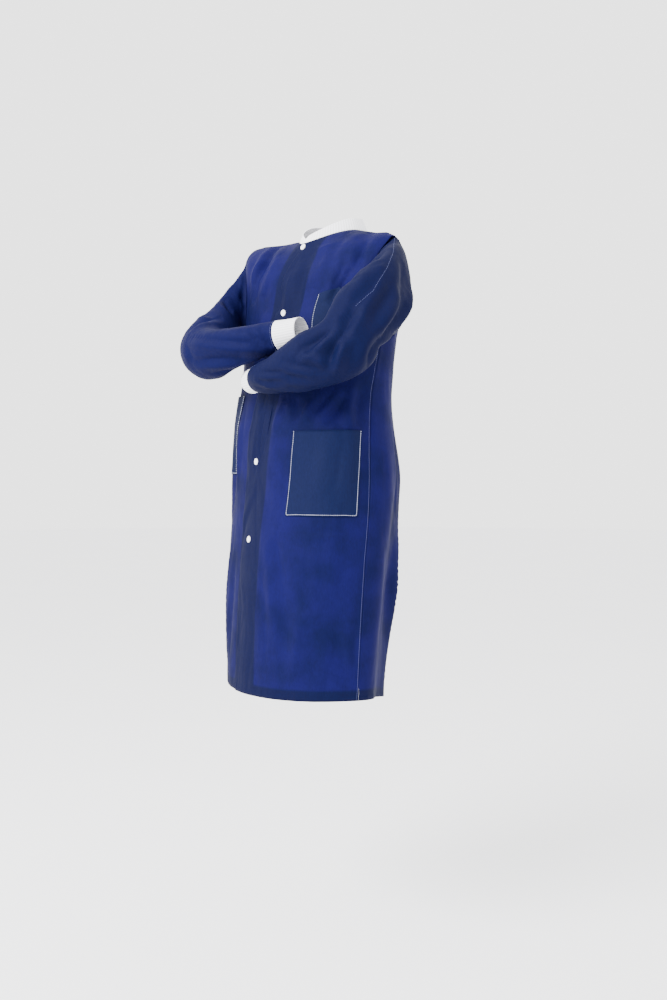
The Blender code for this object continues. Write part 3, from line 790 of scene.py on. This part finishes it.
def hem_share(points):
    """1 in the turned-up hem and 0 above it."""
    lowest = points[:, 2].min()
    low = points[points[:, 2] < lowest + HEM_BAND]
    tree = point_tree(low * np.array((1.0, 1.0, 0.0)))
    share = np.zeros(len(points))
    for index in np.nonzero(points[:, 2] < lowest + HEM_LIMIT)[0]:
        across, deep, height = points[index]
        spots = tree.find_range((across, deep, 0.0), HEM_RADIUS)
        edge = min((low[spot[1]][2] for spot in spots), default=height)
        share[index] = 1.0 - smooth((height - edge - HEM_HEIGHT) / HEM_STEP)
    return share


def dress_cloth(node, creases, crumple=1.0, breadth=0.055, upright=0.35):
    """Thin creased shell on the form of one nonwoven solid.

    Crumple scales the small crumples, breadth is the size of their facets in metres, and
    upright below 1 stretches them upwards.
    """
    piece = outer_sheet(node, node + "_cloth")
    form = surface_tree(piece)
    subdivide(piece, sizes().cloth_levels)
    close_seams(piece, node)
    points = mesh_points(piece)
    normals = mesh_normals(piece)
    heights = crease_heights(points, normals, creases, form)
    heights += crumple_heights(points, sizes().crumple_height * crumple, breadth, upright)
    set_points(piece, points + normals * (heights * seam_weight(node, points))[:, None])
    return piece


# ---------------------------------------------------------------- stitching
def even_path(points, pitch):
    """Points every pitch along a line of points."""
    points = np.asarray(points, float)
    lengths = np.linalg.norm(np.diff(points, axis=0), axis=1)
    total = np.concatenate([[0.0], np.cumsum(lengths)])
    count = max(int(total[-1] / pitch), 1)
    marks = np.linspace(0.0, total[-1], count + 1)
    return np.stack([np.interp(marks, total, points[:, axis]) for axis in range(3)], axis=1)


def stitch_shape(length, radius):
    """One stitch, lying along X: a six-sided thread that dips at both ends."""
    bpy.ops.mesh.primitive_cylinder_add(vertices=6, radius=radius, depth=length,
                                        rotation=(0.0, math.pi / 2.0, 0.0))
    stitch = bpy.context.active_object
    bpy.ops.object.transform_apply(location=False, rotation=True, scale=False)
    bpy.ops.object.mode_set(mode="EDIT")
    for cut in (-0.28, 0.28):
        bpy.ops.mesh.select_all(action="SELECT")
        bpy.ops.mesh.bisect(plane_co=(length * cut, 0, 0), plane_no=(1, 0, 0))
    bpy.ops.object.mode_set(mode="OBJECT")
    # the ends are less than half as thick and sink below the cloth
    for vertex in stitch.data.vertices:
        if abs(vertex.co.x) > length * 0.4:
            vertex.co.y *= 0.45
            vertex.co.z = vertex.co.z * 0.45 - radius * 1.3
    points = [vertex.co.copy() for vertex in stitch.data.vertices]
    faces = [polygon.vertices[:] for polygon in stitch.data.polygons]
    bpy.data.objects.remove(stitch, do_unlink=True)
    return points, faces


def sew(name, path, cloth, sunk, colour):
    """A row of stitches along a path, lying on a dressed piece; sunk thins the thread."""
    pitch = sizes().stitch_pitch
    shape, shape_faces = stitch_shape(pitch * STITCH_SHARE, sizes().thread_radius * sunk)
    points = []
    faces = []
    spots = even_path(path, pitch)
    for here, there in zip(spots[:-1], spots[1:]):
        place, normal, _, _ = OUTER[cloth].find_nearest(Vector((here + there) / 2.0))
        along = Vector(there - here)
        along = (along - normal * along.dot(normal)).normalized()
        turn = Matrix((along, normal.cross(along), normal)).transposed()
        start = len(points)
        points.extend(place + turn @ point + normal * STITCH_LIFT for point in shape)
        faces.extend([tuple(start + index for index in face) for face in shape_faces])
    data = bpy.data.meshes.new(name)
    data.from_pydata([tuple(point) for point in points], [], faces)
    piece = link(bpy.data.objects.new(name, data))
    return finish_piece(piece, None, sewing_thread(linear(colour)))


# ---------------------------------------------------------------- operators
def finish_cloth(piece, node, doubled):
    """Thicken a dressed shell and give it the gown's cloth; the last argument is each point's
    share of the doubled colour, from doubled cloth or painted shade.
    """
    set_doubled_and_painted_shade(piece, doubled)
    add_thickness(piece, sizes().cloth_thickness)
    cloth = spunbonded_cloth("spunbonded_nonwoven", linear(colours().violet),
                             linear(colours().navy))
    finish_piece(piece, node, cloth)


class GOWN_OT_fronts(bpy.types.Operator):
    """Dress the two fronts, the left one lapping over the right"""

    bl_idname = "gown.fronts"
    bl_label = "Fronts"

    def execute(self, context):
        for node, creases, width in (("left_front", LEFT_FRONT_CREASES, 0.32),
                                     ("right_front", RIGHT_FRONT_CREASES, 0.33)):
            piece = dress_cloth(node, creases)
            points = mesh_points(piece)
            finish_cloth(piece, node, np.maximum(placket_share(points), hem_share(points)))
        return {"FINISHED"}


class GOWN_OT_back(bpy.types.Operator):
    """Dress the back panel"""

    bl_idname = "gown.back"
    bl_label = "Back"

    def execute(self, context):
        piece = dress_cloth("back_panel", BACK_CREASES, crumple=1.3, breadth=0.07, upright=0.3)
        finish_cloth(piece, "back_panel", hem_share(mesh_points(piece)))
        return {"FINISHED"}


class GOWN_OT_sleeves(bpy.types.Operator):
    """Dress the two sleeves, crossed in front"""

    bl_idname = "gown.sleeves"
    bl_label = "Sleeves"

    def execute(self, context):
        # shade is how far a sleeve takes the colour of doubled cloth, as painted shade on its
        # single cloth: all of it on the left sleeve, 0.6 on the right
        for node, creases, shade in (("left_sleeve", LEFT_SLEEVE_CREASES, 1.0),
                                     ("right_sleeve", RIGHT_SLEEVE_CREASES, 0.6)):
            piece = dress_cloth(node, creases, crumple=0.7, breadth=0.045, upright=0.8)
            finish_cloth(piece, node, np.full(len(piece.data.vertices), shade))
        return {"FINISHED"}


def wrap_ribs(piece, origin, axis, away):
    """UV map in metres: round the axis from the side opposite to away, and along it."""
    points = mesh_points(piece)
    axis = axis / np.linalg.norm(axis)
    away = away - axis * np.dot(away, axis)
    away /= np.linalg.norm(away)
    side = np.cross(axis, away)
    offsets = points - origin
    angles = np.arctan2(offsets @ side, offsets @ away)
    radius = np.linalg.norm(offsets - np.outer(offsets @ axis, axis), axis=1).mean()
    along = offsets @ axis
    layer = piece.data.uv_layers.new(name="ribs")
    for polygon in piece.data.polygons:
        turned = [angles[index] for index in polygon.vertices]
        crossing = max(turned) - min(turned) > math.pi
        for corner, index, angle in zip(polygon.loop_indices, polygon.vertices, turned):
            if crossing and angle < 0.0:
                angle += 2.0 * math.pi
            layer.data[corner].uv = (angle * radius, along[index])


class GOWN_OT_cuffs(bpy.types.Operator):
    """Dress the two rib knit cuffs"""

    bl_idname = "gown.cuffs"
    bl_label = "Cuffs"

    def execute(self, context):
        for node in ("left_cuff", "right_cuff"):
            piece = outer_sheet(node, node + "_knit")
            subdivide(piece, 3, boundary="ALL")
            points = mesh_points(piece)
            ends = sorted((points[loop].mean(axis=0) for loop in rim_loops(piece)),
                          key=lambda end: end[0])
            wrap_ribs(piece, ends[0], ends[1] - ends[0], np.array((0.0, -1.0, 0.3)))
            add_thickness(piece, sizes().knit_thickness)
            finish_piece(piece, node, rib_knit(linear(colours().knit)))
        return {"FINISHED"}


class GOWN_OT_collar(bpy.types.Operator):
    """Dress the rib knit collar"""

    bl_idname = "gown.collar"
    bl_label = "Collar"

    def execute(self, context):
        piece = outer_sheet("collar", "collar_knit")
        subdivide(piece, 3)
        wrap_ribs(piece, np.array((0.0, 0.0, 0.0)), np.array((0.0, 0.0, 1.0)),
                  np.array((0.0, 1.0, 0.0)))
        add_thickness(piece, sizes().knit_thickness)
        finish_piece(piece, "collar", rib_knit(linear(colours().knit)))
        return {"FINISHED"}


class GOWN_OT_pockets(bpy.types.Operator):
    """Lay the three patch pockets on the dressed fronts"""

    bl_idname = "gown.pockets"
    bl_label = "Pockets"

    def execute(self, context):
        cloth = spunbonded_cloth("spunbonded_nonwoven_doubled", linear(colours().pocket),
                                 linear(colours().pocket))
        for node, front, flat in (("chest_pocket", "left_front_cloth", (0.095, 0.11)),
                                  ("left_hip_pocket", "left_front_cloth", (0.15, 0.16)),
                                  ("right_hip_pocket", "right_front_cloth", (0.145, 0.155))):
            piece = outer_sheet(node, node + "_cloth")
            subdivide(piece, 3)
            points = mesh_points(piece)
            top = points[:, 2].max()
            bottom = points[:, 2].min()
            rims = np.concatenate([points[loop] for loop in rim_loops(piece)])
            sewn = point_tree(rims[rims[:, 2] < top - POCKET_TOP])
            for index, point in enumerate(points):
                spot, normal, _, _ = OUTER[front].find_nearest(Vector(point))
                puff = smooth(sewn.find(point)[2] / POCKET_RISE)
                height = smooth((point[2] - bottom) / (top - bottom))
                points[index] = spot + normal * (POCKET_GAP
                                                 + sizes().pocket_lift * puff * height)
            set_points(piece, points)
            set_doubled_and_painted_shade(piece, np.ones(len(points)))
            add_thickness(piece, sizes().cloth_thickness)
            finish_piece(piece, node, cloth)
        return {"FINISHED"}


def snap_pattern(radius):
    """A snap cap standing on the origin: a low stepped disc with rounded edges."""
    bpy.ops.object.select_all(action="DESELECT")
    bpy.ops.mesh.primitive_cylinder_add(vertices=40, radius=radius, depth=radius * SNAP_HEIGHT,
                                        location=(0.0, 0.0, radius * SNAP_HEIGHT / 2.0))
    pattern = bpy.context.active_object
    bpy.ops.object.transform_apply(location=True, rotation=False, scale=False)
    bpy.ops.object.mode_set(mode="EDIT")
    bpy.ops.mesh.select_all(action="DESELECT")
    shaping = bmesh.from_edit_mesh(pattern.data)
    for face in shaping.faces:
        face.select_set(face.normal.z > 0.9)
    bmesh.update_edit_mesh(pattern.data)
    for inward, rise in SNAP_STEPS:
        bpy.ops.mesh.inset(thickness=radius * inward, depth=radius * rise)
    bpy.ops.object.mode_set(mode="OBJECT")
    apply_modifier(pattern, "BEVEL", width=radius * SNAP_ROUNDING, segments=3,
                   limit_method="ANGLE", angle_limit=math.radians(40.0))
    return pattern


class GOWN_OT_snaps(bpy.types.Operator):
    """Place the snap caps on the lap and finish the rings behind them"""

    bl_idname = "gown.snaps"
    bl_label = "Snaps"

    def execute(self, context):
        material = moulded_snap(linear(colours().snap))
        pattern = snap_pattern(sizes().snap_radius)
        for number, centre in enumerate(snap_centres(), start=1):
            spot, normal, _, _ = OUTER["left_front_cloth"].find_nearest(Vector(centre))
            data = pattern.data.copy()
            turn = normal.to_track_quat("Z", "Y").to_matrix().to_4x4()
            data.transform(Matrix.Translation(spot - normal * SNAP_SINK) @ turn)
            piece = link(bpy.data.objects.new(f"snap_cap_{number}_moulded", data))
            finish_piece(piece, f"snap_cap_{number}", material)
            bpy.ops.object.shade_smooth_by_angle(angle=math.radians(35.0))
            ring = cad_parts[f"snap_back_{number}"]
            for slot in ring.material_slots:
                slot.material = material
        bpy.data.objects.remove(pattern, do_unlink=True)
        return {"FINISHED"}


def pocket_line(pocket, inset):
    """The sewn sides and bottom of a pocket, set in from its edge."""
    sheet = outer_sheet(pocket, "line_" + pocket)
    ring = mesh_points(sheet)[rim_loops(sheet)[0]]
    bpy.data.objects.remove(sheet, do_unlink=True)
    ahead = np.roll(ring, -1, axis=0) - ring
    ahead /= np.linalg.norm(ahead, axis=1)[:, None]
    turns = (ahead * np.roll(ahead, 1, axis=0)).sum(axis=1)
    corners = sorted(np.argsort(turns)[:4])
    top = sorted(sorted(corners, key=lambda index: -ring[index][2])[:2])
    path = np.concatenate([ring[top[1]:], ring[:top[0] + 1]])
    other = ring[top[0]:top[1] + 1]
    path = path if path[:, 2].min() < other[:, 2].min() else other
    along = np.gradient(path, axis=0)
    along /= np.linalg.norm(along, axis=1)[:, None]
    inward = ring.mean(axis=0) - path
    inward -= along * (inward * along).sum(axis=1)[:, None]
    return path + inward / np.linalg.norm(inward, axis=1)[:, None] * inset


def seam_line(node, other, inset):
    """The seam of a cloth piece beside another, set in from its edge."""
    sheet = outer_sheet(node, "seam_" + node)
    points = mesh_points(sheet)
    beside = point_tree(rim_points(other))
    best = []
    for loop in rim_loops(sheet):
        meets = [beside.find(points[index])[2] < SEAM_REACH for index in loop]
        first = meets.index(False) if False in meets else 0
        run = []
        for step in range(len(loop) + 1):
            place = (first + step) % len(loop)
            run = run + [loop[place]] if meets[place] else []
            best = max(best, run, key=len)
    bpy.data.objects.remove(sheet, do_unlink=True)
    line = points[best]
    form = OUTER[node + "_cloth"]
    along = np.gradient(line, axis=0)
    for index, point in enumerate(line):
        spot, normal, _, _ = form.find_nearest(Vector(point))
        across = normal.cross(Vector(along[index])).normalized() * inset
        line[index] = min((spot + across, spot - across),
                          key=lambda way: form.find_nearest(way)[3])
    return line


class GOWN_OT_stitching(bpy.types.Operator):
    """Sew the pockets with pale thread, and the seams and the left armhole with a duller one"""

    bl_idname = "gown.stitching"
    bl_label = "Stitching"

    def execute(self, context):
        for pocket in ("chest_pocket", "left_hip_pocket", "right_hip_pocket"):
            sew(pocket + "_stitches", pocket_line(pocket, STITCH_INSET), pocket + "_cloth",
                1.0, colours().thread)
        for node, other in (("left_front", "back_panel"), ("right_front", "back_panel"),
                            ("left_sleeve", "left_cuff"), ("right_sleeve", "right_cuff")):
            sew(node + "_seam_stitches", seam_line(node, other, STITCH_INSET), node + "_cloth",
                SEAM_SUNK, colours().seam_thread)
        arm = [seen_point(OUTER["left_sleeve_cloth"], 52, across, height)
               for across, height in ARMHOLE_THREAD]
        sew("left_armhole_stitches", arm, "left_sleeve_cloth",
            SEAM_SUNK, colours().seam_thread)
        return {"FINISHED"}


class GOWN_OT_stage(bpy.types.Operator):
    """Set up the pale floor, the soft lights and the camera"""

    bl_idname = "gown.stage"
    bl_label = "Stage"

    def execute(self, context):
        studio = context.scene.gown_studio
        bpy.ops.object.select_all(action="DESELECT")
        bpy.ops.mesh.primitive_circle_add(vertices=96, radius=14.0, fill_type="NGON",
                                          location=(0.0, 0.0, studio.floor_height))
        floor = context.active_object
        floor.name = "studio_floor"
        floor.data.materials.append(studio_paper(linear(colours().floor)))
        world = bpy.data.worlds.new("pale_surround")
        world.use_nodes = True
        shade = world.node_tree.nodes["Background"]
        shade.inputs["Color"].default_value = (1.0, 1.0, 1.0, 1.0)
        shade.inputs["Strength"].default_value = studio.world_strength
        context.scene.world = world
        for name, azimuth, elevation, distance, width, power in LAMPS:
            turn = math.radians(azimuth)
            rise = math.radians(elevation)
            back = Vector((math.sin(turn) * math.cos(rise), -math.cos(turn) * math.cos(rise),
                           math.sin(rise)))
            lamp_data = bpy.data.lights.new(name + "_softbox", "AREA")
            lamp_data.shape = "DISK"
            lamp_data.size = width
            lamp_data.energy = getattr(studio, power)
            lamp = link(bpy.data.objects.new(name + "_softbox", lamp_data))
            lamp.location = Vector(LIT_POINT) + back * distance
            lamp.rotation_euler = back.to_track_quat("Z", "Y").to_euler()
        camera_data = bpy.data.cameras.new("photo_camera")
        camera_data.lens = studio.focal
        camera_data.shift_y = -0.04
        camera = link(bpy.data.objects.new("photo_camera", camera_data))
        camera.location = eye_at(studio.azimuth)
        camera.rotation_euler = (math.pi / 2.0, 0.0, studio.azimuth)
        context.scene.camera = camera
        return {"FINISHED"}


class GOWN_PT_panel(bpy.types.Panel):
    """Sidebar panel with one button for each group of pieces"""

    bl_idname = "GOWN_PT_panel"
    bl_label = "Visitor gown"
    bl_space_type = "VIEW_3D"
    bl_region_type = "UI"
    bl_category = "Gown"

    def draw(self, context):
        for operator in OPERATORS:
            self.layout.operator(operator.bl_idname)
        for group in (context.scene.gown_sizes, context.scene.gown_colours,
                      context.scene.gown_studio):
            box = self.layout.box()
            for name in group.__annotations__:
                box.prop(group, name)


OPERATORS = (GOWN_OT_fronts, GOWN_OT_back, GOWN_OT_sleeves, GOWN_OT_cuffs, GOWN_OT_collar,
             GOWN_OT_pockets, GOWN_OT_snaps, GOWN_OT_stitching, GOWN_OT_stage)
CLASSES = (GownSizes, GownColours, StudioSettings, *OPERATORS, GOWN_PT_panel)


def register():
    for item in CLASSES:
        bpy.utils.register_class(item)
    bpy.types.Scene.gown_sizes = bpy.props.PointerProperty(type=GownSizes)
    bpy.types.Scene.gown_colours = bpy.props.PointerProperty(type=GownColours)
    bpy.types.Scene.gown_studio = bpy.props.PointerProperty(type=StudioSettings)


def unregister():
    del bpy.types.Scene.gown_studio
    del bpy.types.Scene.gown_colours
    del bpy.types.Scene.gown_sizes
    for item in reversed(CLASSES):
        bpy.utils.unregister_class(item)


def main():
    """Dress the gown piece by piece and set the stage."""
    register()
    for operator in OPERATORS:
        group, name = operator.bl_idname.split(".")
        getattr(getattr(bpy.ops, group), name)()


if __name__ == "__main__":
    main()
